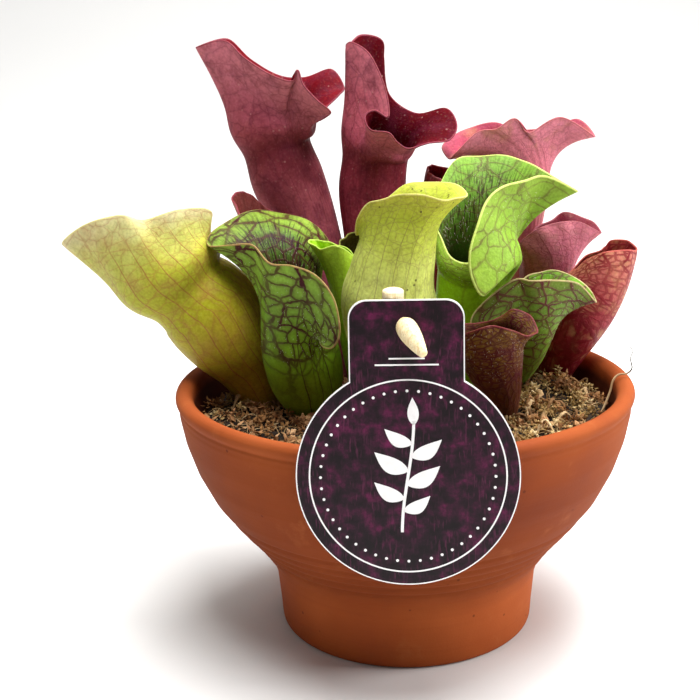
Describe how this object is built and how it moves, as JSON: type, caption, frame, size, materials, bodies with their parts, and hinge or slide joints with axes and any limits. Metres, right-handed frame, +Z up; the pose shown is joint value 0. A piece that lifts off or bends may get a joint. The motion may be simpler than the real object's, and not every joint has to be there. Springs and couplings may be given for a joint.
{
  "type": "potted pitcher plant",
  "caption": "A pitcher plant in a footed terracotta bowl: upright trumpet leaves with hooded, waved rims rise from dried moss, with a pegged plum hang tag at the front.",
  "frame": {"origin": "centre of the pot's flat underside", "axes": "+Z up the pot's axis, -Y towards the front with the hang tag, +X to the right seen from the front"},
  "size_m": [0.1791, 0.1471, 0.1811],
  "materials": {
    "terracotta": "matte",
    "leaf_yellow": "satin",
    "leaf_green": "satin",
    "leaf_netted": "satin",
    "leaf_bronze": "satin",
    "leaf_red": "satin",
    "leaf_rose": "satin",
    "dried_moss": "matte",
    "rhizome_bark": "matte",
    "tag_card": "satin",
    "pale_wood": "matte"
  },
  "bodies": {
    "root": {"pot": "terracotta", "pitcher_left_yellow": "leaf_yellow", "pitcher_front_left_netted": "leaf_netted", "pitcher_small_green": "leaf_green", "pitcher_middle_lime": "leaf_yellow", "pitcher_small_olive": "leaf_bronze", "pitcher_upright_lime": "leaf_green", "pitcher_right_netted": "leaf_netted", "pitcher_small_bronze": "leaf_bronze", "pitcher_tall_red_left": "leaf_red", "pitcher_tall_red_middle": "leaf_red", "pitcher_back_pink": "leaf_rose", "pitcher_back_small_red": "leaf_red", "pitcher_right_rose": "leaf_rose", "pitcher_far_right_mottled": "leaf_rose", "pitcher_back_left_tip": "leaf_rose", "moss": "dried_moss", "rhizome": "rhizome_bark", "hang_tag": "tag_card", "wooden_stake": "pale_wood", "wooden_peg": "pale_wood", "loose_fibre": "dried_moss"}
  },
  "joints": []
}
